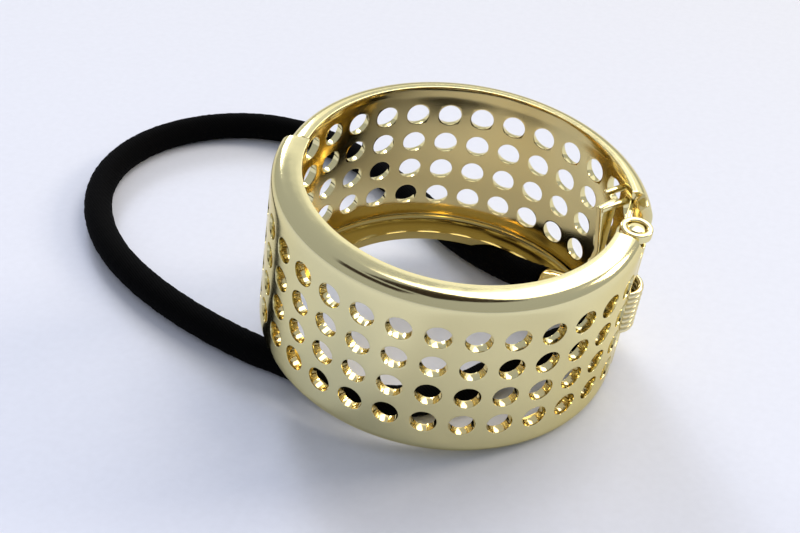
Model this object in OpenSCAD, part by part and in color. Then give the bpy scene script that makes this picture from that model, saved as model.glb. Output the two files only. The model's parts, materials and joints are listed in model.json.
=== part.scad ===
// Ponytail cuff hair tie: a perforated metal cuff in two hinged half shells,
// with a covered elastic loop threaded round a bar inside it.
// The cuff rests tilted on its own elastic, which is laid out on the surface.
// All sizes are in millimetres.

/* [Cuff] */
// Outer radius of both half shells
cuff_r = 23; // [22:0.5:24]
// Height of the shells along the cuff's axis
cuff_h = 24; // [23.5:0.25:25]
// Thickness of the wall and of the turned-in rims
wall = 1.2; // [0.9:0.1:1.3]
// Radius that rounds the outer edge of each rim
rim_round = 1.8; // [1.5:0.1:2]
// Width of the front shell's turned-in rims
front_rim = 3.7; // [3.2:0.1:4]
// Width of the back shell's turned-in rims
back_rim = 2.8; // [2.6:0.1:3.2]
// How far the back shell sits nearer to the hinge than the front one
back_shift = 0.7; // [0.4:0.1:0.9]

/* [Pierced pattern] */
// Diameter of the round holes
hole_d = 3.1; // [2:0.1:3.4]
// Distance between two rows along the axis
row_pitch = 4.4; // [4:0.1:4.6]
// Rows of holes
rows = 4; // [2:2:4]
// Angle between two columns of holes
col_pitch = 11.45; // [11:0.05:11.6]
// Columns in the front shell
front_cols = 15; // [9:2:15]
// Columns in the back shell
back_cols = 13; // [9:2:13]

/* [Hinge] */
// Distance of the hinge axis from the cuff's axis
hinge_x = 21.7; // [21.5:0.1:22]
// Outer radius of the hinge barrel
barrel_r = 2; // [1.8:0.1:2.1]
// Radius of the hinge pin
pin_r = 1; // [0.8:0.05:1]
// Clearance round the pin
pin_gap = 0.05; // [0.02:0.01:0.1]
// Outer radius of the coil spring
spring_r = 2.6; // [2.2:0.1:2.6]
// Wire diameter of the coil spring
spring_wire = 0.85; // [0.6:0.05:0.85]
// Turns of the coil spring
spring_turns = 8; // [5:1:8]

/* [Elastic] */
// Diameter of the covered elastic
elastic_d = 3.5; // [3:0.1:3.5]
// Outer diameter of the ferrule that joins the elastic's ends
clamp_d = 4.6; // [4:0.1:4.8]

/* [Pose] */
// Angle at which the cuff leans on its elastic
tilt = 7.3; // [7.1:0.1:7.5]

/* [Hidden] */
$fn = 48;

// Direction, seen from above, in which the tilted cuff rises
uphill = 159;
// Angles about the cuff's axis at which each shell starts and ends
front_start = 180.2;
front_end = 353.7;
back_start = 13;
back_end = 179.8;
// Middle of each shell's hole pattern
front_mid = 267.6;
back_mid = 96.5;
// Inner radius of the wall
inner_r = cuff_r - wall;

// The barrel, from its top: back ring, front knuckle, coil, front knuckle, back ring
barrel_high = cuff_h / 2 - 0.2;
ring_low = 9.8;
knuckle_high = 9.6;
knuckle_low = 4.9;
lower_knuckle_high = -3.8;
spring_low = -3.5;
spring_high = 3.7;
// Room cut in the front wall for the coil: clearance round it and at its ends
coil_room = 0.25;
coil_room_low = -3.7;
coil_room_high = 4.8;
// Countersink at the outer end of each back ring
sink_r = pin_r + 0.4;
sink_depth = 0.7;
// How far the pin's ends lie below the ends of the barrel
pin_recess = 0.25;
// Thickness and top of the leaf that joins each back ring to the back wall
leaf_t = 1;
leaf_high = 11.6;

// Bar that holds the elastic: place, direction and thickness of its upright strap
bar_at = [17.3, 5];
bar_dir = 57;
bar_t = 0.8;
// Outline of the strap, from its foot upwards: left edge, right edge and height
bar_outline = [
    [-2.6, -0.8, wall - cuff_h / 2],
    [-2.6, -0.8, -4.5],
    [-0.6, 1.2, -1],
    [0.2, 1.6, 3],
    [-1.6, 1.6, 10.5],
];
bar_high = bar_outline[4][2];
// The two legs that join the strap to the back wall, and the place where they end
leg_h = 0.8;
leg_w = 1.8;
leg_end = [19.2, 11];

// Points that guide the elastic from one mouth of the ferrule to the other:
// place seen from above, measured from the cuff's middle, and height of the centre line
on_table = elastic_d / 2;
route = [
    [15.2, 11.2, 4.9],
    [18.3, 8.3, 5.1],
    [18.5, 4, 4.9],
    [15.9, 0.4, 4.2],
    [12.6, -1.4, 3.5],
    [9.8, -4, 2.7],
    [7, -7.2, 2],
    [3.6, -11, on_table],
    [-0.9, -14.2, on_table],
    [-6.2, -15.3, on_table],
    [-12.2, -13, on_table],
    [-18.3, -10.9, on_table],
    [-24.4, -9.3, on_table],
    [-30.9, -6.7, on_table],
    [-37.5, -3.3, on_table],
    [-44, 0.9, on_table],
    [-50, 6.2, on_table],
    [-54.8, 12.9, on_table],
    [-57.8, 20.4, on_table],
    [-58, 28.4, on_table],
    [-55, 35.7, on_table],
    [-49.1, 41.3, on_table],
    [-41.6, 44.2, on_table],
    [-34, 44, on_table],
    [-27.4, 41.5, on_table],
    [-20.6, 37.4, on_table],
    [-14.4, 32.6, on_table],
    [-8.7, 27.3, on_table],
    [-3.2, 21.5, on_table],
    [4, 17.2, 2.1],
    [10.7, 13.6, 3.1],
];
// Rings swept between two guide points
steps = 2;

// Smooth curve that follows the guide points, whose two ends face each other
function guide(i) = route[(i + len(route)) % len(route)];
function blend(a, b, c, d, t) =
    (pow(1 - t, 3) * a + (3 * t * t * t - 6 * t * t + 4) * b
     + (3 * t * t - 3 * t * t * t + 3 * t + 1) * c + t * t * t * d) / 6;
function curve_at(i, t) = blend(guide(i - 1), guide(i), guide(i + 1), guide(i + 2), t);
curve = [for (i = [0 : len(route) - 2], k = [0 : steps - 1]) curve_at(i, k / steps),
         curve_at(len(route) - 1, 0)];

function unit(v) = v / norm(v);
// Direction of a path at point i; the ends of a loop both face along its gap
function along(path, i, loop) =
    let (last = len(path) - 1)
    loop && (i == 0 || i == last) ? unit(path[0] - path[last])
        : unit(path[min(i + 1, last)] - path[max(i - 1, 0)]);
// Ring of points across a path, with one corner straight down
function ring(path, i, r, sides, loop) =
    let (t = along(path, i, loop), side = unit(cross(t, [0, 0, 1])), up = cross(side, t))
    [for (k = [0 : sides - 1])
        let (a = 360 * k / sides) path[i] + r * (cos(a) * up + sin(a) * side)];

// Tube swept along a path, closed at both ends
module tube(path, r, sides, loop = false) {
    last = len(path) - 1;
    points = [for (i = [0 : last]) each ring(path, i, r, sides, loop)];
    walls = [for (i = [0 : last - 1], k = [0 : sides - 1])
        let (a = i * sides + k, b = i * sides + (k + 1) % sides)
        each [[b, a, b + sides], [b + sides, a, a + sides]]];
    start = [[for (k = [0 : sides - 1]) k]];
    end = [[for (k = [sides - 1 : -1 : 0]) last * sides + k]];
    polyhedron(points = points, faces = concat(start, walls, end), convexity = 8);
}

// Reach of a shell from the cuff's middle in the direction of the unit vector u
function reach(u) = (cuff_r - rim_round) * norm([u.x, u.y])
    + (cuff_h / 2 - rim_round) * abs(u.z) + rim_round;
// Reach of the hinge barrel in the same direction
function barrel_reach(u) = hinge_x * u.x + barrel_r * norm([u.x, u.y])
    + barrel_high * abs(u.z);
// A direction of the standing part, as the untilted cuff sees it
rise = [cos(uphill), sin(uphill)];
function seen(d) =
    let (a = d.x * rise.x + d.y * rise.y, b = cos(tilt) * a + sin(tilt) * d.z)
    [d.x + (b - a) * rise.x, d.y + (b - a) * rise.y, cos(tilt) * d.z - sin(tilt) * a];
down = seen([0, 0, -1]);
lift = max(reach(down), barrel_reach(down));
mid_x = (barrel_reach(seen([1, 0, 0])) - reach(seen([-1, 0, 0]))) / 2;
mid_y = (reach(seen([0, 1, 0])) - reach(seen([0, -1, 0]))) / 2;

// Places the cuff as it leans on the elastic, centred over the origin
module laid() {
    translate([-mid_x, -mid_y, lift])
        rotate([0, 0, uphill]) rotate([0, -tilt, 0]) rotate([0, 0, -uphill])
            children();
}

// Half of a shell's wall section: upper wall, rounded corner and turned-in rim
module half_section(rim) {
    corner = cuff_r - rim_round;
    high = cuff_h / 2 - rim_round;
    lip = cuff_r - rim + wall / 2;
    translate([inner_r, 0]) square([wall, high]);
    translate([corner, high]) intersection() {
        difference() {
            circle(r = rim_round);
            circle(r = rim_round - wall);
        }
        square(rim_round);
    }
    translate([lip, cuff_h / 2 - wall]) square([corner - lip, wall]);
    translate([lip, cuff_h / 2 - wall / 2]) circle(d = wall);
}

module shell(rim, from, to) {
    rotate([0, 0, from]) rotate_extrude(angle = to - from, $fn = 96) {
        half_section(rim);
        mirror([0, 1]) half_section(rim);
    }
}

// Columns of holes about the middle angle mid
module holes(mid, cols) {
    for (c = [0 : cols - 1], r = [0 : rows - 1])
        rotate([0, 0, mid + (c - (cols - 1) / 2) * col_pitch])
            translate([cuff_r - 2 * wall, 0, (r - (rows - 1) / 2) * row_pitch])
                rotate([0, 90, 0]) cylinder(h = 3 * wall, d = hole_d, $fn = 24);
}

module barrel(low, high) {
    translate([hinge_x, 0, low]) cylinder(h = high - low, r = barrel_r);
}

module pin_bore() {
    translate([hinge_x, 0, -cuff_h]) cylinder(h = 2 * cuff_h, r = pin_r + pin_gap);
}

// Front knuckle, with the slightly thinner strip of wall that runs into it
module front_knuckle(low, high) {
    inset = 0.3;
    skin = 0.1;
    barrel(low, high);
    rotate([0, 0, front_end - 1]) rotate_extrude(angle = 359 - front_end, $fn = 96)
        translate([inner_r + skin, low + inset])
            square([wall - 2 * skin, high - low - 2 * inset]);
}

module coil_room() {
    translate([hinge_x, 0, coil_room_low])
        cylinder(h = coil_room_high - coil_room_low, r = spring_r + coil_room);
}

module front_half() {
    color("#cfc79b") laid() difference() {
        union() {
            difference() {
                shell(front_rim, front_start, front_end);
                coil_room();
            }
            front_knuckle(knuckle_low, knuckle_high);
            front_knuckle(-knuckle_high, lower_knuckle_high);
        }
        holes(front_mid, front_cols);
        pin_bore();
    }
}

// Back ring of the hinge with its leaf, on the upper side
module back_ring() {
    barrel(ring_low, barrel_high);
    translate([hinge_x - barrel_r, 0, ring_low])
        cube([leaf_t, back_rim * 3.6, leaf_high - ring_low]);
}

// Countersink in the upper end of the barrel
module sink() {
    translate([hinge_x, 0, barrel_high - sink_depth])
        cylinder(h = 2 * sink_depth, r1 = pin_r, r2 = 2 * sink_r - pin_r);
}

// One leg of the elastic's bar, from the strap to the back wall
module bar_leg(low) {
    run = leg_end - bar_at;
    intersection() {
        translate([bar_at.x, bar_at.y, low]) rotate([0, 0, atan2(run.y, run.x)])
            translate([-bar_t / 2, -leg_w / 2, 0]) cube([norm(run) + wall, leg_w, leg_h]);
        translate([back_shift, 0, -cuff_h / 2]) cylinder(h = cuff_h, r = inner_r + wall / 2);
    }
}

module elastic_bar() {
    low = bar_outline[0][2];
    up = [0 : len(bar_outline) - 1];
    translate([bar_at.x, bar_at.y, 0]) rotate([0, 0, bar_dir])
        translate([0, bar_t / 2, 0]) rotate([90, 0, 0]) linear_extrude(bar_t)
            polygon(concat([for (i = up) [bar_outline[i][1], bar_outline[i][2]]],
                           [for (i = up) let (j = len(bar_outline) - 1 - i)
                               [bar_outline[j][0], bar_outline[j][2]]]));
    bar_leg(low);
    bar_leg(bar_high - leg_h);
}

module back_half() {
    color("#c7be90") laid() difference() {
        union() {
            translate([back_shift, 0, 0]) difference() {
                shell(back_rim, back_start, back_end);
                holes(back_mid, back_cols);
            }
            back_ring();
            mirror([0, 0, 1]) back_ring();
            elastic_bar();
        }
        pin_bore();
        sink();
        mirror([0, 0, 1]) sink();
    }
}

module hinge_pin() {
    length = 2 * (barrel_high - pin_recess);
    color("#e6dfb9") laid() translate([hinge_x, 0, -length / 2])
        cylinder(h = length, r = pin_r);
}

// Close-wound coil with a short straight leg at each end
module hinge_spring() {
    mean_r = spring_r - spring_wire / 2;
    per_turn = 16;
    climb = spring_high - spring_low - spring_wire;
    last = spring_turns * per_turn;
    // both legs leave the coil towards the hollow of the cuff
    coil = [for (i = [0 : last])
        let (a = 90 + 360 * i / per_turn)
        [mean_r * cos(a), mean_r * sin(a), climb * i / last]];
    leg = [-4, 0, 0];
    path = concat([coil[0] + leg], coil);
    color("#bdb184") laid()
        translate([hinge_x, 0, spring_low + spring_wire / 2])
            tube(path, spring_wire / 2, 6);
}

// Ferrule between the two ends of the elastic
module elastic_clamp() {
    a = curve[len(curve) - 1];
    b = curve[0];
    run = b - a;
    length = norm(run);
    color("#c9bf92") translate([a.x - mid_x, a.y - mid_y, a.z])
        rotate([0, acos(run.z / length), atan2(run.y, run.x)])
            cylinder(h = length, d = clamp_d);
}

module elastic_band() {
    color("#141416") translate([-mid_x, -mid_y, 0]) tube(curve, elastic_d / 2, 8, loop = true);
}

front_half();
back_half();
hinge_pin();
hinge_spring();
elastic_clamp();
elastic_band();
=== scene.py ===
# %% [markdown]
# # A ponytail cuff in pale gold
# The object is a hair tie: a short ring of pierced sheet metal in two hinged
# halves, with a covered black elastic inside it. In wear the ponytail goes
# through the ring and the elastic holds it there.
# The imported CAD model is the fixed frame. Every piece below is made round it,
# in metres, and ends up where the CAD says. Sizes are written in millimetres
# and multiplied by mm.

# %% Load the frame
import json
import math

import bmesh
import bpy
from mathutils import Matrix, Vector


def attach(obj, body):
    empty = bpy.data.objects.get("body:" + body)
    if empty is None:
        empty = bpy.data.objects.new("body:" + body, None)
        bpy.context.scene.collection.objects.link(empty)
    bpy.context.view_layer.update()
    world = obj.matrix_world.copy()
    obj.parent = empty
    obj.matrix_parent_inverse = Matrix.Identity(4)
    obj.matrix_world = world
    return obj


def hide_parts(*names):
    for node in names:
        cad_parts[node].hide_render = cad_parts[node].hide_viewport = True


mm = 0.001
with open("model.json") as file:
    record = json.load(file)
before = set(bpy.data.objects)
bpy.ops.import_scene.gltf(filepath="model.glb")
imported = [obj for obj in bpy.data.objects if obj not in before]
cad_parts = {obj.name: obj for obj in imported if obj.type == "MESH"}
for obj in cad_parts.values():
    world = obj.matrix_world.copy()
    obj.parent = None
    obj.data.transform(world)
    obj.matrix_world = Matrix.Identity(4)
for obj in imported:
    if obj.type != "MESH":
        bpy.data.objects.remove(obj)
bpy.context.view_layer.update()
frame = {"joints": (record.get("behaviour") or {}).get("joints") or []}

# %% [markdown]
# ## The camera
# The view is from above and a little from the right, through a lens of
# portrait length. A Track To constraint would aim the camera too, but it keeps
# it level. Turned by its own three axes, it keeps its slight roll as well.

# %% Camera
eye = Vector((33.39, -155.72, 125.57)) * mm
looks_along = Vector((-0.20338, 0.79035, -0.57792)).normalized()
to_the_right = Vector((0.96430, 0.26392, 0.02158))
to_the_right = (to_the_right - to_the_right.dot(looks_along) * looks_along).normalized()
upwards = to_the_right.cross(looks_along)

camera_data = bpy.data.cameras.new("camera")
camera_data.lens = 69.74
camera_data.sensor_width = 36
camera = bpy.data.objects.new("camera", camera_data)
bpy.context.scene.collection.objects.link(camera)
camera.matrix_world = Matrix.Translation(eye) @ Matrix(
    (to_the_right, upwards, -looks_along)).transposed().to_4x4()
bpy.context.scene.camera = camera
print("camera stands", round(eye.length / mm), "mm from the middle of the floor")

# %% [markdown]
# ## Helpers
# An operator acts on everything that is selected. So each step first selects
# one object, and in edit mode picks its vertices, edges or faces by their
# place or by the way they face. Where nothing is picked, an operator does
# nothing and says nothing, so the helper that picks stops the script instead.


# %% Select one object, and parts of it
def only(piece):
    """Make a piece the only one selected, and the active one."""
    bpy.ops.object.select_all(action="DESELECT")
    piece.select_set(True)
    bpy.context.view_layer.objects.active = piece


def pick(piece, kind, test):
    """In edit mode, select the vertices, edges or faces whose middle passes a test."""
    bpy.ops.mesh.select_mode(type=kind)
    bpy.ops.mesh.select_all(action="DESELECT")
    form = bmesh.from_edit_mesh(piece.data)
    found = False
    for part in {"VERT": form.verts, "EDGE": form.edges, "FACE": form.faces}[kind]:
        points = [part.co] if kind == "VERT" else [v.co for v in part.verts]
        if test(sum(points, Vector()) / len(points), part):
            part.select_set(True)
            found = True
    if not found:
        raise RuntimeError(f"nothing was picked on {piece.name}")
    form.select_flush_mode()
    bmesh.update_edit_mesh(piece.data)


# %% Name, move, finish and measure a piece
def new_piece(name):
    """Name the primitive that an operator has just added."""
    piece = bpy.context.object
    piece.name = piece.data.name = name
    bpy.ops.object.transform_apply(location=True, rotation=True, scale=True)
    return piece


def bake_place(piece, place):
    """Move a piece and put the move into its mesh, so its object stays at the origin."""
    only(piece)
    piece.matrix_world = place @ piece.matrix_world
    bpy.ops.object.transform_apply(location=True, rotation=True, scale=True)


def finish_with(piece, kind, **settings):
    """Add a modifier, set it and apply it."""
    only(piece)
    modifier = piece.modifiers.new(kind.lower(), kind)
    for setting, value in settings.items():
        setattr(modifier, setting, value)
    bpy.ops.object.modifier_apply(modifier=modifier.name)


def smooth(piece, angle):
    """Shade a piece smooth, except over edges sharper than an angle in degrees."""
    only(piece)
    bpy.ops.object.shade_smooth_by_angle(angle=math.radians(angle))


def tell(piece):
    """Print how many faces a piece has, and how large it is."""
    spans = [[v.co[axis] for v in piece.data.vertices] for axis in range(3)]
    size = " x ".join(str(round((max(span) - min(span)) / mm, 1)) for span in spans)
    print(f"{piece.name}: {len(piece.data.polygons)} faces, {size} mm")


# %% [markdown]
# ## Where the cuff is
# The cuff leans on its own elastic, about 7 degrees off level. A leaning piece
# is awkward to model, because nothing on it lies along an axis. So each is
# made upright about the Z axis and then laid down, all by the same matrix. It
# comes from the CAD's hinge: the turn that leans Z over to the hinge's axis,
# and the point that the axis goes through.

# %% Place of the cuff
# distance of the hinge's axis from the cuff's own
hinge_x = 21.7 * mm
hinge = frame["joints"][0]
cuff_axis = Vector(hinge["axis"])
lean = Vector((0, 0, 1)).rotation_difference(cuff_axis)
from_hinge = Vector(hinge["pos_m"]) - lean @ Vector((hinge_x, 0, 0))
# the frame gives the hinge's place to a thousandth of a millimetre, so the
# middle is rounded to that as well
cuff_middle = Vector([round(x, 6) for x in from_hinge])
laid = Matrix.Translation(cuff_middle) @ lean.to_matrix().to_4x4()
print("the cuff leans", round(math.degrees(lean.angle), 1), "degrees")

# %% [markdown]
# ## The elastic
# The real one is a rubber core in a knitted black cover: limp, and 4 mm
# thick where it lies free. It starts in the ferrule, runs round the bar,
# passes under the front rim, makes one free loop on the table and comes back
# under the back rim. A Path curve through a few points would look much the
# same, but the CAD's elastic is a B-spline over a list of guide points, and
# this one has to lie in the same place. So the list is the CAD's, and the
# formula is written out. Under the rims the elastic is squeezed a little
# thinner, which is a smaller radius at those points of the curve.

# %% How free the elastic is
# in mm: radius of the ring on which the wall stands, half the width of the
# squeezed stretch below it, and the length over which the elastic swells again
standing_r = 21
squeezed_reach = 1.5
swelling_reach = 2.5


def freedom(x, y):
    """0 under the cuff's wall and 1 a few millimetres beside it, for a place in mm."""
    beside = abs(math.hypot(x, y) - standing_r)
    return min(max((beside - squeezed_reach) / swelling_reach, 0), 1)


# %% Route of the elastic
# guide points in mm: place seen from above, from the cuff's middle, and height
on_table = 1.75
route = [
    (15.2, 11.2, 4.9), (18.3, 8.3, 5.1), (18.5, 4, 4.9), (15.9, 0.4, 4.2),
    (12.6, -1.4, 3.5), (9.8, -4, 2.7), (7, -7.2, 2), (3.6, -11, on_table),
    (-0.9, -14.2, on_table), (-6.2, -15.3, on_table), (-12.2, -13, on_table),
    (-18.3, -10.9, on_table), (-24.4, -9.3, on_table), (-30.9, -6.7, on_table),
    (-37.5, -3.3, on_table), (-44, 0.9, on_table), (-50, 6.2, on_table),
    (-54.8, 12.9, on_table), (-57.8, 20.4, on_table), (-58, 28.4, on_table),
    (-55, 35.7, on_table), (-49.1, 41.3, on_table), (-41.6, 44.2, on_table),
    (-34, 44, on_table), (-27.4, 41.5, on_table), (-20.6, 37.4, on_table),
    (-14.4, 32.6, on_table), (-8.7, 27.3, on_table), (-3.2, 21.5, on_table),
    (4, 17.2, 2.1), (10.7, 13.6, 3.1),
]
# where it is free, the thicker elastic lies this much higher, in mm
free_rise = 0.15
# the cuff's middle seen from above, in mm
seen_middle = Vector((cuff_middle.x, cuff_middle.y, 0)) / mm
guides = [(Vector((x, y, z + free_rise * freedom(x, y))) + seen_middle) * mm
          for x, y, z in route]


def curve_point(i, t):
    """Point of the cubic B-spline between guide i and the next one."""
    a, b, c, d = (guides[(i + k) % len(guides)] for k in (-1, 0, 1, 2))
    return ((1 - t) ** 3 * a + (3 * t ** 3 - 6 * t * t + 4) * b
            + (3 * t * t - 3 * t ** 3 + 3 * t + 1) * c + t ** 3 * d) / 6


per_guide = 20
elastic_line = [curve_point(i, k / per_guide)
                for i in range(len(guides) - 1) for k in range(per_guide)]
elastic_line.append(curve_point(len(guides) - 1, 0))

# %% Elastic as a tube
elastic_d = 4 * mm
# share of its thickness that the elastic keeps under the rims
squeezed = 0.93
line = bpy.data.curves.new("elastic", "CURVE")
line.dimensions = "3D"
line.bevel_depth = elastic_d / 2
line.bevel_resolution = 8
line.use_fill_caps = True
spline = line.splines.new("POLY")
spline.points.add(len(elastic_line) - 1)
for point, place in zip(spline.points, elastic_line):
    point.co = (*place, 1)
    point.radius = squeezed + (1 - squeezed) * freedom(place.x / mm, place.y / mm)
elastic = bpy.data.objects.new("elastic", line)
bpy.context.scene.collection.objects.link(elastic)
only(elastic)
bpy.ops.object.convert(target="MESH")
elastic = bpy.context.object

# %% Lumps of the knit
# the knitted cover is a little lumpy, which softens its outline
lump_size = 0.5 * mm
lump_height = 0.2 * mm
lumps = bpy.data.textures.new("lumps of the knit", "CLOUDS")
lumps.noise_scale = lump_size
finish_with(elastic, "DISPLACE", texture=lumps, texture_coords="LOCAL",
            strength=lump_height, mid_level=0.5)
smooth(elastic, 60)
tell(elastic)

# %% [markdown]
# ## Ferrule
# The two ends of the elastic are pushed into a short metal tube that is
# squeezed shut. The squeeze rounds its mouths and leaves it hardly thicker
# than the elastic. A lathed outline would give that form too, but a cylinder
# with both rims bevelled is quicker to change, and one round of subdivision
# makes the rounding run into the sides without a line.

# %% Ferrule
ferrule_r = 2 * mm
mouth_rounding = 0.9 * mm
mouth_a, mouth_b = elastic_line[-1], elastic_line[0]
ferrule_run = mouth_b - mouth_a
bpy.ops.object.select_all(action="DESELECT")
bpy.ops.mesh.primitive_cylinder_add(vertices=48, radius=ferrule_r,
                                    depth=ferrule_run.length)
ferrule = new_piece("ferrule")
bpy.ops.object.mode_set(mode="EDIT")
pick(ferrule, "EDGE", lambda c, e: abs(c.z) > 0.49 * ferrule_run.length)
bpy.ops.mesh.bevel(offset=mouth_rounding, segments=6, affect="EDGES")
bpy.ops.object.mode_set(mode="OBJECT")
finish_with(ferrule, "SUBSURF", levels=1, render_levels=1)
smooth(ferrule, 50)
bake_place(ferrule, Matrix.Translation((mouth_a + mouth_b) / 2)
           @ ferrule_run.to_track_quat("Z", "Y").to_matrix().to_4x4())
tell(ferrule)

# %% [markdown]
# ## The half shells
# A real half shell starts as a flat strip: it is pierced, its long edges are
# folded in for the rims, and it is bent round. A Boolean could cut the holes
# into a finished ring, but it leaves long thin faces between them, and a
# polish shows every one. So the model takes the same path as the real strip.
# One cell of the pattern is shaped, an Array repeats it, its edges are extruded
# into rims, Solidify gives the sheet its thickness, and Simple Deform bends the
# strip last. Bent last, the wall is a true cylinder, and its reflections stay
# calm between the holes.

# %% Sizes of the sheet and its pattern
cuff_r = 23 * mm
cuff_h = 24 * mm
sheet_t = 1.2 * mm
# the strip is modelled as the middle of the sheet
wall_mid_r = cuff_r - sheet_t / 2
flat_top = (cuff_h - sheet_t) / 2


def arc(degrees):
    """Length along the middle of the wall over an angle about the cuff's axis."""
    return math.radians(degrees) * wall_mid_r


hole_r = 3.1 / 2 * mm
rows = 4
row_pitch = 4.4 * mm
col_pitch = arc(11.45)
# two rounds of subdivision shrink an opening of eight corners to this share
shrink = 0.908
# parts this near to a place are at it, and points this near to each other merge
near = 0.01 * mm
touching = 0.001 * mm
print("holes every", round(col_pitch / mm, 2), "mm along the strip")


# %% One pierced cell
def pierced_cell(name):
    """Flat cell of 4 by 4 faces, upright in XZ, with its middle opened to a circle."""
    bpy.ops.object.select_all(action="DESELECT")
    bpy.ops.mesh.primitive_grid_add(x_subdivisions=4, y_subdivisions=4, size=1,
                                    rotation=(math.pi / 2, 0, 0))
    cell = new_piece(name)
    bpy.ops.object.mode_set(mode="EDIT")
    bpy.ops.mesh.select_all(action="SELECT")
    bpy.ops.transform.resize(value=(col_pitch, 1, row_pitch), center_override=(0, 0, 0))
    pick(cell, "FACE", lambda c, f: abs(c.x) < col_pitch / 4 and abs(c.z) < row_pitch / 4)
    bpy.ops.mesh.delete(type="FACE")
    pick(cell, "VERT", lambda c, v: abs(c.x) < 0.3 * col_pitch and abs(c.z) < 0.3 * row_pitch)
    bpy.ops.transform.tosphere(value=1, center_override=(0, 0, 0))
    form = bmesh.from_edit_mesh(cell.data)
    now = max(v.co.length for v in form.verts if v.select)
    grow = hole_r / shrink / now
    bpy.ops.transform.resize(value=(grow, 1, grow), center_override=(0, 0, 0))
    bpy.ops.object.mode_set(mode="OBJECT")
    return cell


# %% Pierced strip
def extrude(move, times=1):
    """Extrude what is selected, in equal steps."""
    for _ in range(times):
        bpy.ops.mesh.extrude_region_move(
            TRANSFORM_OT_translate={"value": [x / times for x in move]})


def pierced_strip(name, columns, start_margin, end_margin):
    """Upper half of a flat strip: its cells, and the plain wall at both ends."""
    strip = pierced_cell(name)
    for count, direction in ((columns, (1, 0, 0)), (rows // 2, (0, 0, 1))):
        finish_with(strip, "ARRAY", count=count, relative_offset_displace=direction,
                    use_merge_vertices=True, merge_threshold=touching)
    bpy.ops.object.mode_set(mode="EDIT")
    bpy.ops.mesh.select_all(action="SELECT")
    bpy.ops.transform.translate(value=(-(columns - 1) / 2 * col_pitch, 0, row_pitch / 2))
    pattern_end = columns / 2 * col_pitch
    for side, margin in ((-1, start_margin), (1, end_margin)):
        pick(strip, "EDGE", lambda c, e: abs(c.x - side * pattern_end) < near)
        extrude((side * margin, 0, 0), max(1, round(margin / sheet_t)))
    bpy.ops.object.mode_set(mode="OBJECT")
    return strip


# %% [markdown]
# The rim is folded in one go: the strip's top edge is extruded up to the fold,
# round it in three steps, and inwards. A Bevel could round a sharp fold of the
# finished sheet, but it would round the edges of the holes by as much. The
# rim's cut edge, the lip, dips a little. Only the upper half of the strip is
# shaped, and a Mirror modifier adds the lower one.

# %% Folded rim
fold_steps = (0, 30, 60, 90)
# the flat rim stops this far before its full width, and a lip follows it
lip_room = 0.7 * mm
lip_w = 0.55 * mm
lip_drop = 0.04 * mm


def fold_rim(strip, rim, fold_r):
    """Extrude the strip's top edge up, round the fold and inwards along the rim."""
    only(strip)
    bpy.ops.object.mode_set(mode="EDIT")
    pattern_top = rows / 2 * row_pitch
    pick(strip, "EDGE", lambda c, e: c.z > pattern_top - near)
    extrude((0, 0, flat_top - fold_r - pattern_top))
    fold = [(fold_r * (1 - math.cos(math.radians(a))), fold_r * math.sin(math.radians(a)))
            for a in fold_steps]
    for (y0, z0), (y1, z1) in zip(fold, fold[1:]):
        extrude((0, y1 - y0, z1 - z0))
    extrude((0, rim - fold_r - lip_room, 0), 2)
    extrude((0, lip_w, -lip_drop))
    bpy.ops.object.mode_set(mode="OBJECT")


def cut_rim(strip, before, fold_r):
    """Remove the flat rim before a place along the strip, where the wall runs on."""
    only(strip)
    bpy.ops.object.mode_set(mode="EDIT")
    pick(strip, "FACE", lambda c, f: c.y > 0.7 * fold_r and c.x < before)
    bpy.ops.mesh.delete(type="FACE")
    bpy.ops.object.mode_set(mode="OBJECT")


# the wall runs on to a knuckle between these heights, by this much
knuckle_strip_low, knuckle_strip_high = 1.3 * row_pitch, 2 * row_pitch
knuckle_strip_length = arc(5.3)


def add_knuckle_strip(strip, end):
    """Lengthen the wall beyond its end, beside the upper row, towards a knuckle."""
    only(strip)
    bpy.ops.object.mode_set(mode="EDIT")
    pick(strip, "EDGE", lambda c, e: abs(c.x - end) < near
         and knuckle_strip_low < c.z < knuckle_strip_high)
    extrude((knuckle_strip_length, 0, 0), 2)
    bpy.ops.object.mode_set(mode="OBJECT")


# %% Both halves of the strip
def mirror_down(strip, fold_r, lower_rim_wider):
    """Turn the faces outwards, mirror the upper half down and widen the lower rim."""
    only(strip)
    bpy.ops.object.mode_set(mode="EDIT")
    bpy.ops.mesh.select_all(action="SELECT")
    bpy.ops.mesh.normals_make_consistent(inside=False)
    form = bmesh.from_edit_mesh(strip.data)
    on_wall = [f for f in form.faces if abs(f.calc_center_median().y) < near / 100]
    if sum(f.normal.y for f in on_wall) > 0:
        bpy.ops.mesh.flip_normals()
    bpy.ops.object.mode_set(mode="OBJECT")
    finish_with(strip, "MIRROR", use_axis=(False, False, True), merge_threshold=touching)
    bpy.ops.object.mode_set(mode="EDIT")
    pick(strip, "VERT", lambda c, v: c.z < fold_r - flat_top and c.y > fold_r + near)
    bpy.ops.transform.translate(value=(0, lower_rim_wider, 0))
    bpy.ops.object.mode_set(mode="OBJECT")


# %% [markdown]
# A punch drags the metal with it, so each hole opens outwards a little, like a
# shallow funnel. A bevel round each hole would need a selection of its own on
# the finished sheet. It is simpler to move the points of the outer side: those
# at the edge go furthest from the hole's middle, and those a little way off
# stay where they are.

# %% Holes that open outwards
funnel_reach = 0.6 * mm


def nearest_of(count, distance):
    """Hole of a row that is nearest to a distance, both in steps from the row's middle."""
    first = (count - 1) / 2
    return min(max(round(distance + first), 0), count - 1) - first


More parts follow.
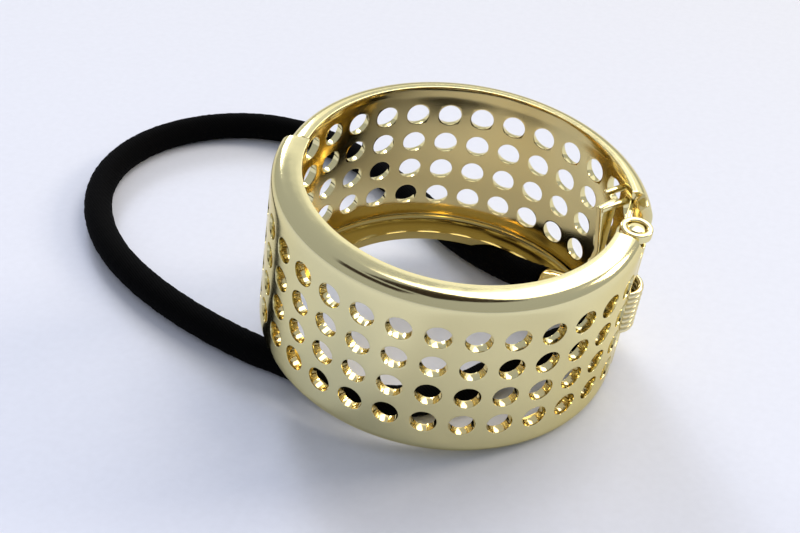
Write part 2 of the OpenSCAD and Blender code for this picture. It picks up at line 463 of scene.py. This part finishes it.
def open_holes(sheet, columns, flare):
    """Widen every hole by its flare on the outer side of the sheet."""
    for vertex in sheet.data.vertices:
        x, y, z = vertex.co
        centre = Vector((nearest_of(columns, x / col_pitch) * col_pitch, y,
                         nearest_of(rows, z / row_pitch) * row_pitch))
        ring = (vertex.co - centre).length
        if y < -0.4 * sheet_t and ring < hole_r + funnel_reach:
            opened = ring + flare * (1 - (ring - hole_r) / funnel_reach)
            vertex.co = centre + (vertex.co - centre) * opened / ring


# %% Strip to half shell
edge_rounding = 0.14 * mm


def bend_round(sheet, middle):
    """Bend a flat sheet into an arc about the Z axis, its middle at an angle in degrees."""
    span = sheet.dimensions.x
    finish_with(sheet, "SIMPLE_DEFORM", deform_method="BEND", deform_axis="Z",
                angle=span / wall_mid_r)
    smooth(sheet, 60)
    finish_with(sheet, "WEIGHTED_NORMAL", weight=80, keep_sharp=True)
    bake_place(sheet, Matrix.Rotation(math.radians(middle + 90), 4, "Z")
               @ Matrix.Translation((0, -wall_mid_r, 0)))
    print(sheet.name, "is bent from", round(span / mm, 1), "mm of strip")


def half_shell(name, columns, start, end, middle, rim, fold_r, flare,
               lower_rim_wider=0, knuckles=False, rim_gap=0):
    """Half shell from a start to an end angle, with the middle angle of its pattern."""
    pattern_end = columns / 2 * col_pitch
    strip_start = arc(start - middle)
    strip_end = arc(end - middle)
    shell = pierced_strip(name, columns, -strip_start - pattern_end,
                          strip_end - pattern_end)
    fold_rim(shell, rim - sheet_t / 2, fold_r)
    if rim_gap:
        cut_rim(shell, -pattern_end - rim_gap, fold_r)
    if knuckles:
        add_knuckle_strip(shell, strip_end)
    mirror_down(shell, fold_r, lower_rim_wider)
    finish_with(shell, "SUBSURF", levels=2, render_levels=2,
                boundary_smooth="PRESERVE_CORNERS")
    finish_with(shell, "SOLIDIFY", thickness=sheet_t, offset=0, use_even_offset=True)
    open_holes(shell, columns, flare)
    finish_with(shell, "BEVEL", width=edge_rounding, segments=3, limit_method="ANGLE",
                angle_limit=math.radians(50))
    bend_round(shell, middle)
    return shell


# %% [markdown]
# The front shell has wide rims and ends in the hinge's knuckles. The back
# shell has narrower rims, softer folds and holes that open wider, and it sits
# a little nearer to the hinge. Its flat rims stop short of the hinge.

# %% Front and back shell
back_shift = 0.7 * mm
front_shell = half_shell("front_shell", columns=15, start=180.2, end=353.7,
                         middle=267.6, rim=3.7 * mm, fold_r=1.2 * mm,
                         flare=0.03 * mm, knuckles=True)
back_shell = half_shell("back_shell", columns=13, start=13, end=179.8,
                        middle=96.5, rim=2.8 * mm, fold_r=1.5 * mm,
                        flare=0.35 * mm, lower_rim_wider=1.9 * mm, rim_gap=1.1 * mm)
bake_place(back_shell, Matrix.Translation((back_shift, 0, 0)))
for shell in (front_shell, back_shell):
    bake_place(shell, laid)
    tell(shell)

# %% [markdown]
# ## The hinge
# Both halves end in rings that turn on one pin, with a coil spring between
# the front half's two knuckles. Rings and knuckles are short tubes. A Boolean
# could bore a cylinder, but its rims are then hard to round. Here the two ends
# are inset, the faces that are left in their middles are bridged into a bore,
# and every rim is bevelled.


# %% Tubes of the hinge
def tube(name, low, high, outer, bore, rounding):
    """Upright tube on the hinge axis, with rounded rims, by its sizes in mm."""
    bpy.ops.object.select_all(action="DESELECT")
    bpy.ops.mesh.primitive_cylinder_add(vertices=64, radius=outer * mm,
                                        depth=(high - low) * mm,
                                        location=(0, 0, (low + high) / 2 * mm))
    piece = new_piece(name)
    bpy.ops.object.mode_set(mode="EDIT")
    pick(piece, "FACE", lambda c, f: abs(f.normal.z) > 0.9)
    bpy.ops.mesh.inset(thickness=(outer - bore) * mm)
    bpy.ops.mesh.bridge_edge_loops()
    pick(piece, "EDGE", lambda c, e: e.calc_face_angle(0) > 1)
    bpy.ops.mesh.bevel(offset=rounding * mm, segments=4, affect="EDGES")
    bpy.ops.object.mode_set(mode="OBJECT")
    bake_place(piece, Matrix.Translation((hinge_x, 0, 0)))
    smooth(piece, 30)
    tell(piece)
    return piece


rings = [tube("hinge_ring_top", 10.6, 11.8, outer=2, bore=1.25, rounding=0.2),
         tube("hinge_ring_bottom", -11.8, -10.6, outer=1.45, bore=1.2, rounding=0.1)]
knuckles = [tube("knuckle_top", 4.9, 9.6, outer=1.4, bore=1.06, rounding=0.1),
            tube("knuckle_bottom", -9.6, -3.8, outer=1.4, bore=1.06, rounding=0.1)]

# %% [markdown]
# The pin is a plain rod. Its ends are riveted over, which leaves a low dome
# with a dark line round it inside each ring. The rim is bevelled, and the
# inset middle of each end is raised a little.

# %% Pin
pin_r = 1.1 * mm
pin_half = 11.65 * mm
rivet_rounding = 0.3 * mm
dome_inset = 0.35 * mm
dome_h = 0.1 * mm
bpy.ops.object.select_all(action="DESELECT")
bpy.ops.mesh.primitive_cylinder_add(vertices=48, radius=pin_r, depth=2 * pin_half)
pin = new_piece("hinge_pin_rod")
bpy.ops.object.mode_set(mode="EDIT")
pick(pin, "EDGE", lambda c, e: abs(c.z) > 0.99 * pin_half)
bpy.ops.mesh.bevel(offset=rivet_rounding, segments=5, affect="EDGES")
pick(pin, "FACE", lambda c, f: abs(f.normal.z) > 0.99)
bpy.ops.mesh.inset(thickness=dome_inset)
for side in (-1, 1):
    pick(pin, "FACE", lambda c, f: f.normal.z * side > 0.99 and c.xy.length < 0.1 * mm)
    bpy.ops.transform.translate(value=(0, 0, side * dome_h))
bpy.ops.object.mode_set(mode="OBJECT")
bake_place(pin, Matrix.Translation((hinge_x, 0, 0)))
smooth(pin, 40)
tell(pin)

# %% [markdown]
# The spring is a close coil of round wire. A bevelled curve along a helix
# would do, but every point of the helix then has to be worked out. Here one
# small circle is the wire's section, and a Screw modifier carries it round and
# up. Its two ends are then extruded into straight legs that press on the
# halves.

# %% Coil spring
wire_r = 0.4 * mm
coil_r = 2.19 * mm
turns = 8
steps_per_turn = 32
spring_leg = 3.5 * mm
coil_low, coil_high = -3.5 * mm + wire_r, 3.7 * mm - wire_r
bpy.ops.object.select_all(action="DESELECT")
bpy.ops.mesh.primitive_circle_add(vertices=12, radius=wire_r, rotation=(math.pi / 2, 0, 0),
                                  location=(coil_r, 0, coil_low))
spring = new_piece("coil_spring")
finish_with(spring, "SCREW", angle=2 * math.pi * turns,
            screw_offset=coil_high - coil_low, steps=steps_per_turn * turns,
            render_steps=steps_per_turn * turns, use_merge_vertices=False,
            use_smooth_shade=True)
bpy.ops.object.mode_set(mode="EDIT")
form = bmesh.from_edit_mesh(spring.data)
ends = [[v.index for v in form.verts if v.is_boundary and (v.co.z < 0) == low]
        for low in (True, False)]
for end in ends:
    pick(spring, "EDGE", lambda c, e: e.is_boundary and all(v.index in end for v in e.verts))
    extrude((0, spring_leg, 0))
    bpy.ops.mesh.edge_face_add()
bpy.ops.mesh.select_all(action="SELECT")
bpy.ops.mesh.normals_make_consistent(inside=False)
bpy.ops.object.mode_set(mode="OBJECT")
smooth(spring, 60)
bake_place(spring, Matrix.Translation((hinge_x, 0, 0)) @ Matrix.Rotation(math.pi / 2, 4, "Z"))
tell(spring)

# %% [markdown]
# ## Leaves, strap and legs
# Flat pieces inside the back half: a leaf ties each hinge ring to the wall,
# and an upright strap, soldered on by two legs with a small hook beside the
# upper one, is the bar that the elastic runs round. All are cut from sheet, so
# each is an outline that is extruded to its thickness, with rounded edges.


# %% Plates
def plate(name, outline, thickness, rounding=0.15):
    """Plate in XZ with the given corners in mm, centred on y = 0, with rounded edges."""
    bpy.ops.object.select_all(action="DESELECT")
    bpy.ops.mesh.primitive_circle_add(vertices=len(outline), radius=1, fill_type="NGON")
    piece = new_piece(name)
    for vertex, (x, z) in zip(piece.data.vertices, outline):
        vertex.co = Vector((x, -thickness / 2, z)) * mm
    bpy.ops.object.mode_set(mode="EDIT")
    bpy.ops.mesh.select_all(action="SELECT")
    extrude((0, thickness * mm, 0))
    bpy.ops.mesh.select_all(action="SELECT")
    bpy.ops.mesh.normals_make_consistent(inside=False)
    bpy.ops.object.mode_set(mode="OBJECT")
    finish_with(piece, "BEVEL", width=rounding * mm, segments=3, limit_method="ANGLE",
                angle_limit=math.radians(30))
    smooth(piece, 40)
    return piece


def box_plate(name, x, y, z):
    """Plate that fills a box, given by its limits in mm along each axis."""
    piece = plate(name, [(x[0], z[0]), (x[1], z[0]), (x[1], z[1]), (x[0], z[1])],
                  y[1] - y[0])
    bake_place(piece, Matrix.Translation(Vector((0, sum(y) / 2, 0)) * mm))
    return piece


def stand(piece, x, y, turn):
    """Turn a plate by an angle in degrees and stand it at a place in mm."""
    bake_place(piece, Matrix.Translation(Vector((x, y, 0)) * mm)
               @ Matrix.Rotation(math.radians(turn), 4, "Z"))


# %% Leaves
leaf_h = 0.7
leaves = [box_plate(name, (19.9, 20.5), (0, 10), (low, low + leaf_h))
          for name, low in (("leaf_top", 9.8), ("leaf_bottom", -10.5))]

# %% Strap
# levels of the outline, from its foot upwards: left edge, right edge, height
strap_levels = [(-2.6, -0.8, -10.8), (-2.6, -0.8, -4.5), (-0.6, 1.2, -1),
                (0.2, 1.6, 3), (-1.6, 1.6, 10.5)]
strap = plate("elastic_bar", [(right, z) for _, right, z in strap_levels]
              + [(left, z) for left, _, z in reversed(strap_levels)],
              thickness=0.8, rounding=0.2)
stand(strap, 17.3, 5, turn=57)

# %% Legs and hook
leg_t = 0.7
leg_reach = (-0.4, 4.2)
legs = []
for name, x, y, low in (("bar_leg_bottom", 17.3, 5, -10.8), ("bar_leg_top", 17, 4.2, 9.7),
                        ("bar_hook_top", 16.9, 7.8, 9.7)):
    leg = box_plate(name, leg_reach, (-leg_t / 2, leg_t / 2), (low, low + leg_t))
    stand(leg, x, y, turn=50)
    legs.append(leg)

# %% Lay the hinge down
# rings and pin sit a little off the hinge's axis, nearer to the back shell
pin_shift = Vector((-0.18, 0.2, 0)) * mm
for piece in (*rings, pin):
    bake_place(piece, Matrix.Translation(pin_shift))
hinge_pieces = [*rings, *knuckles, pin, spring, strap, *leaves, *legs]
for piece in hinge_pieces:
    bake_place(piece, laid)
print("laid down:", len(hinge_pieces), "pieces")

# %% [markdown]
# ## Materials
# Colours are written as sRGB hex values, as a picture editor shows them, and
# one function turns them to the linear values that Blender calculates with.
# Another adds a node, sets it and links what feeds it. Some inputs share a
# name, as the two vectors of a Vector Math node do, so they are given by
# number. On a Mix node n0 is how far it mixes, n6 and n7 are its two colours,
# and output 2 is the mixed one.


# %% Colour and nodes
def colour(code):
    """Linear colour from an sRGB hex value."""
    parts = [int(code[i:i + 2], 16) / 255 for i in (1, 3, 5)]
    return [x / 12.92 if x <= 0.04045 else ((x + 0.055) / 1.055) ** 2.4
            for x in parts] + [1]


def feed(made, **inputs):
    """Set a node's inputs, by name or number, to values or to the sockets that feed them."""
    for key, value in inputs.items():
        by_number = key[0] == "n" and key[1:].isdigit()
        socket = made.inputs[int(key[1:]) if by_number else key.replace("_", " ")]
        if isinstance(value, bpy.types.NodeSocket):
            made.id_data.links.new(value, socket)
        else:
            socket.default_value = value


def node(tree, kind, settings=None, **inputs):
    """Add a node with its settings and what feeds it."""
    made = tree.nodes.new(kind)
    for key, value in (settings or {}).items():
        setattr(made, key, value)
    feed(made, **inputs)
    return made


def new_material(name):
    """Material with its surface shader and output, ready for patterns."""
    material = bpy.data.materials.new(name)
    material.use_nodes = True
    tree = material.node_tree
    return material, tree, tree.nodes["Principled BSDF"]


# %% [markdown]
# ### Pale gold plating on brass
# The sheet is brass with a thin polished plating of pale gold. Polished metal
# has almost no colour of its own in the dark: it shows the room, tinted. The
# inside has a painted tone of its own, a deeper gold that stands in for how the
# inside is lit, and low on the lower rim, where it meets the wall, the tone is
# darker still: painted shade. Two materials could be given to the faces of each
# side, but their border would be a hard line. So one material tells the sides
# apart by itself: outside, the surface faces away from the cuff's middle.

# %% Tone of the plating
# how far the plane of a surface passes from the cuff's middle where its tone is
# wholly that of the outside or, if it faces the middle, the painted tone of the inside
side_change = 3 * mm
# heights above the cuff's middle, along its axis, over which the painted rim shade fades out
corner_shade_low, corner_shade_high = -10.1 * mm, -9.3 * mm


def plating_and_painted_light(tree, outside, inside, corner_shade):
    """Plating tone outside, painted tone inside, painted shade in the lower rim's inner bend.
    """
    at = node(tree, "ShaderNodeTexCoord")
    from_middle = node(tree, "ShaderNodeVectorMath", {"operation": "SUBTRACT"},
                       n0=at.outputs["Object"], n1=cuff_middle)
    facing = node(tree, "ShaderNodeVectorMath", {"operation": "DOT_PRODUCT"},
                  n0=from_middle.outputs["Vector"], n1=at.outputs["Normal"])
    # painted light and shade: faces turned to the cuff's middle get the inside's painted tone
    side = node(tree, "ShaderNodeMapRange", Value=facing.outputs["Value"],
                From_Min=-side_change, From_Max=side_change)
    height = node(tree, "ShaderNodeVectorMath", {"operation": "DOT_PRODUCT"},
                  n0=from_middle.outputs["Vector"], n1=cuff_axis)
    depth = node(tree, "ShaderNodeMapRange", Value=height.outputs["Value"],
                 From_Min=corner_shade_low, From_Max=corner_shade_high)
    # painted shade: the inside's tone darkens low on the lower rim, where it meets the wall
    inside_with_shade = node(tree, "ShaderNodeMix", {"data_type": "RGBA"}, n0=depth.outputs["Result"],
                  n6=colour(corner_shade), n7=colour(inside))
    tone = node(tree, "ShaderNodeMix", {"data_type": "RGBA"}, n0=side.outputs["Result"],
                n6=inside_with_shade.outputs[2], n7=colour(outside))
    return tone.outputs[2]


# %% [markdown]
# Polishing leaves faint waves a few millimetres long and very fine rubbing
# lines round the wall. Both are far too shallow to model, so two Bump nodes
# draw them, and the lines also vary the roughness. Highlights then wander a
# little and never look like glass. The real lines are finer still: these are
# as coarse as they need to be to show.

# %% Plated brass
wave_length = 3.846 * mm
line_length = 2.5 * mm
line_spacing = mm / 6


def plated_brass(name, outside, inside, corner_shade, roughness):
    """Polished plating, by its tones and its roughness between the rubbing lines."""
    material, tree, shader = new_material(name)
    place = node(tree, "ShaderNodeTexCoord").outputs["Object"]
    waves = node(tree, "ShaderNodeTexNoise", Vector=place, Scale=1 / wave_length,
                 Detail=2, Roughness=0.5)
    rubbed = node(tree, "ShaderNodeMapping", Vector=place,
                  Scale=(1 / line_length, 1 / line_length, 1 / line_spacing))
    lines = node(tree, "ShaderNodeTexNoise", Vector=rubbed.outputs["Vector"],
                 Scale=1, Detail=3, Roughness=0.6)
    spread = node(tree, "ShaderNodeMapRange", Value=lines.outputs["Fac"],
                  To_Min=roughness - 0.04, To_Max=roughness + 0.06)
    fine = node(tree, "ShaderNodeBump", Height=lines.outputs["Fac"],
                Strength=0.03, Distance=0.02 * mm)
    wavy = node(tree, "ShaderNodeBump", Height=waves.outputs["Fac"],
                Strength=0.12, Distance=0.1 * mm, Normal=fine.outputs["Normal"])
    feed(shader, Metallic=1, Base_Color=plating_and_painted_light(tree, outside, inside, corner_shade),
         Specular_Tint=colour("#F4ECD0"), Roughness=spread.outputs["Result"],
         Normal=wavy.outputs["Normal"])
    return material


# the second tone is painted light and shade for the inside, the third is painted shade low on
# the lower rim
wall_metal = plated_brass("polished pale gold plating on brass",
                          "#E7DDA9", "#F2DE9F", "#BCA664", 0.12)
# the spring's second tone is painted shade on the side that faces the cuff's middle; its
# third is the same
spring_metal = plated_brass("plated spring steel wire",
                            "#E6DAAC", "#D8C68E", "#D8C68E", 0.22)
print("metal:", wall_metal.name, "and", spring_metal.name)

# %% [markdown]
# ### Knitted elastic cover
# The cover is black polyester yarn, knitted round the rubber. It is matt and
# nearly black from every side, with a faint pale bloom where fine hairs stand
# off at the outline. Its stitches run in slanting ribs. Every stitch could be
# modelled, but a rib is only about two pixels wide in the picture, so a Wave
# texture draws the ribs as tone and bump, and Sheen gives the bloom.

# %% Knitted cover
rib_spacing = 0.3 * mm
hair_spacing = 0.25 * mm
# a diagonal Wave texture of scale 1 has this many ribs in one unit of length
ribs_per_unit = 10 * math.sqrt(3) / (2 * math.pi)


def knitted_cover():
    """Black yarn in slanting ribs, with fine hairs."""
    material, tree, shader = new_material("black knitted polyester cover")
    place = node(tree, "ShaderNodeTexCoord").outputs["Object"]
    ribs = node(tree, "ShaderNodeTexWave", {"bands_direction": "DIAGONAL"}, Vector=place,
                Scale=1 / (rib_spacing * ribs_per_unit), Distortion=1.5, Detail=2)
    tone = node(tree, "ShaderNodeMix", {"data_type": "RGBA"}, n0=ribs.outputs["Fac"],
                n6=colour("#030303"), n7=colour("#080809"))
    fuzz = node(tree, "ShaderNodeTexNoise", Vector=place, Scale=1 / hair_spacing, Detail=3)
    yarn = node(tree, "ShaderNodeBump", Height=ribs.outputs["Fac"],
                Strength=0.5, Distance=0.08 * mm)
    hairs = node(tree, "ShaderNodeBump", Height=fuzz.outputs["Fac"],
                 Strength=0.4, Distance=0.04 * mm, Normal=yarn.outputs["Normal"])
    feed(shader, Base_Color=tone.outputs[2], Roughness=0.9, Specular_IOR_Level=0.04,
         Sheen_Weight=0.008, Sheen_Roughness=0.5, Sheen_Tint=colour("#6C6A66"),
         Normal=hairs.outputs["Normal"])
    return material


cover = knitted_cover()
print("cover:", cover.name)

# %% [markdown]
# ## Material and body of every piece
# The front body turns on the hinge, so the front shell and the knuckles ride
# on it, and all else rides on the cuff. Six pieces stand for a CAD solid, which
# is hidden, and the others add detail to them.


# %% Dress the pieces
def dress(piece, material, body):
    """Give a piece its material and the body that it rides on."""
    piece.data.materials.clear()
    piece.data.materials.append(material)
    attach(piece, body)


for piece in (front_shell, *knuckles):
    dress(piece, wall_metal, "front")
for piece in (back_shell, *rings, strap, *leaves, *legs):
    dress(piece, wall_metal, "cuff")
dress(pin, wall_metal, "cuff")
dress(spring, spring_metal, "cuff")
dress(ferrule, wall_metal, "cuff")
dress(elastic, cover, "cuff")
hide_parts("front_half")
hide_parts("back_half")
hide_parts("hinge_pin")
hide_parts("hinge_spring")
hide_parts("elastic_clamp")
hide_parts("elastic_band")

# %% [markdown]
# ## Ends of the elastic
# The elastic starts at one mouth of the ferrule and comes back to the other.

# %% [markdown]
# ## Floor
# A pale table, matt and without a mark: one large plane. One flat colour would
# leave the back too bright, because the boxes stand behind the cuff and light
# the back more, so its tone is lighter and bluer at the front. Its grain is
# drawn coarser than that of real paper, so that it shows at all.

# %% Floor
grain_size = 1.11 * mm
front_y, back_y = -70 * mm, 170 * mm


def pale_paper():
    """Matt paper with one tone at the front, another at the back, and a faint grain."""
    material, tree, shader = new_material("pale matt paper")
    place = node(tree, "ShaderNodeTexCoord").outputs["Object"]
    grain = node(tree, "ShaderNodeTexNoise", Vector=place, Scale=1 / grain_size, Detail=3)
    specks = node(tree, "ShaderNodeMapRange", Value=grain.outputs["Fac"],
                  From_Min=0.3, From_Max=0.7)
    fibres = node(tree, "ShaderNodeMix", {"data_type": "RGBA"}, n0=specks.outputs["Result"],
                  n6=colour("#FCFCFC"), n7=colour("#FFFFFF"))
    spot = node(tree, "ShaderNodeSeparateXYZ", Vector=place)
    away = node(tree, "ShaderNodeMapRange", Value=spot.outputs["Y"],
                From_Min=front_y, From_Max=back_y)
    tone = node(tree, "ShaderNodeMix", {"data_type": "RGBA"}, n0=away.outputs["Result"],
                n6=colour("#E7EBF8"), n7=colour("#CFD0D2"))
    paper = node(tree, "ShaderNodeMix", {"data_type": "RGBA", "blend_type": "MULTIPLY"},
                 n0=1.0, n6=tone.outputs[2], n7=fibres.outputs[2])
    feed(shader, Base_Color=paper.outputs[2], Roughness=0.75, Specular_IOR_Level=0.2)
    return material


bpy.ops.object.select_all(action="DESELECT")
bpy.ops.mesh.primitive_plane_add(size=3)
floor = new_piece("floor")
floor.data.materials.append(pale_paper())
print("floor:", round(floor.dimensions.x), "m wide")

# %% [markdown]
# ## Light
# Soft boxes stand behind the cuff, with one broad card. The low box at the
# left is cool and the two at the right are warm, so the elastic has a
# yellowish shadow inside its loop and a bluish one outside. A pale room fills
# in from all sides. One sky picture could light all this, but it would have to
# be loaded from a file, and boxes are easier to move one by one.

# %% Soft boxes
aim = Vector((-10, 10, 5)) * mm


def soft_box(name, place, width, height, watts, tint):
    """Area light at a place in mm that faces the cuff."""
    data = bpy.data.lights.new(name, "AREA")
    data.shape = "RECTANGLE"
    data.size, data.size_y = width * mm, height * mm
    data.energy = watts
    data.color = colour(tint)[:3]
    lamp = bpy.data.objects.new(name, data)
    bpy.context.scene.collection.objects.link(lamp)
    lamp.location = Vector(place) * mm
    lamp.rotation_euler = (aim - lamp.location).to_track_quat("-Z", "Y").to_euler()
    return lamp


soft_box("box behind", (190, 440, 640), 440, 480, 2.3, "#FFF8EE")
soft_box("box right", (640, 380, 420), 240, 240, 2.6, "#FFF1DA")
soft_box("box back left", (-470, 640, 400), 200, 200, 1.8, "#F4F6FF")
# this one only gives the elastic its shadow: the metal doesn't mirror it
low_box = soft_box("low box", (-620, 1120, 480), 270, 270, 7, "#E0E8FF")
low_box.visible_glossy = False
soft_box("card behind", (-60, 900, 480), 1500, 500, 1.6, "#FFFDF8")
print("lights:", len(bpy.data.lights))

# %% [markdown]
# Polished metal needs something dark to mirror as well, or it looks flat and
# white. Two sheets of dark cloth, beside the camera and overhead, draw the
# dark streaks on the rims and the wall. They throw no shadow and darken
# nothing else.

# %% Dark cloth
cloth, _, cloth_shader = new_material("dark brown cloth")
feed(cloth_shader, Base_Color=colour("#2A1C12"), Roughness=1)


def dark_card(name, place, width, height):
    """Dark card at a place in mm, turned to the cuff, that only shows as a reflection."""
    bpy.ops.object.select_all(action="DESELECT")
    bpy.ops.mesh.primitive_plane_add(size=1)
    card = new_piece(name)
    card.data.materials.append(cloth)
    at = Vector(place) * mm
    bake_place(card, Matrix.Translation(at) @ at.to_track_quat("Z", "Y").to_matrix().to_4x4()
               @ Matrix.Diagonal((width * mm, height * mm, 1, 1)))
    card.visible_diffuse = card.visible_shadow = False


dark_card("cloth beside", (-190, -300, 470), 340, 200)
dark_card("cloth overhead", (70, -50, 630), 440, 350)


# %% Room
def pale_room(front, back, strength):
    """World that is one tone in front of the object and another behind it."""
    world = bpy.data.worlds.new("room")
    world.use_nodes = True
    tree = world.node_tree
    at = node(tree, "ShaderNodeTexCoord")
    toward = node(tree, "ShaderNodeSeparateXYZ", Vector=at.outputs["Generated"])
    behind = node(tree, "ShaderNodeMapRange", Value=toward.outputs["Y"], From_Min=-1)
    tone = node(tree, "ShaderNodeMix", {"data_type": "RGBA"}, n0=behind.outputs["Result"],
                n6=colour(front), n7=colour(back))
    feed(tree.nodes["Background"], Strength=strength, Color=tone.outputs[2])
    return world


bpy.context.scene.world = pale_room("#D4D8E3", "#DFE4F0", 0.66)
bpy.context.scene.view_settings.view_transform = "Standard"
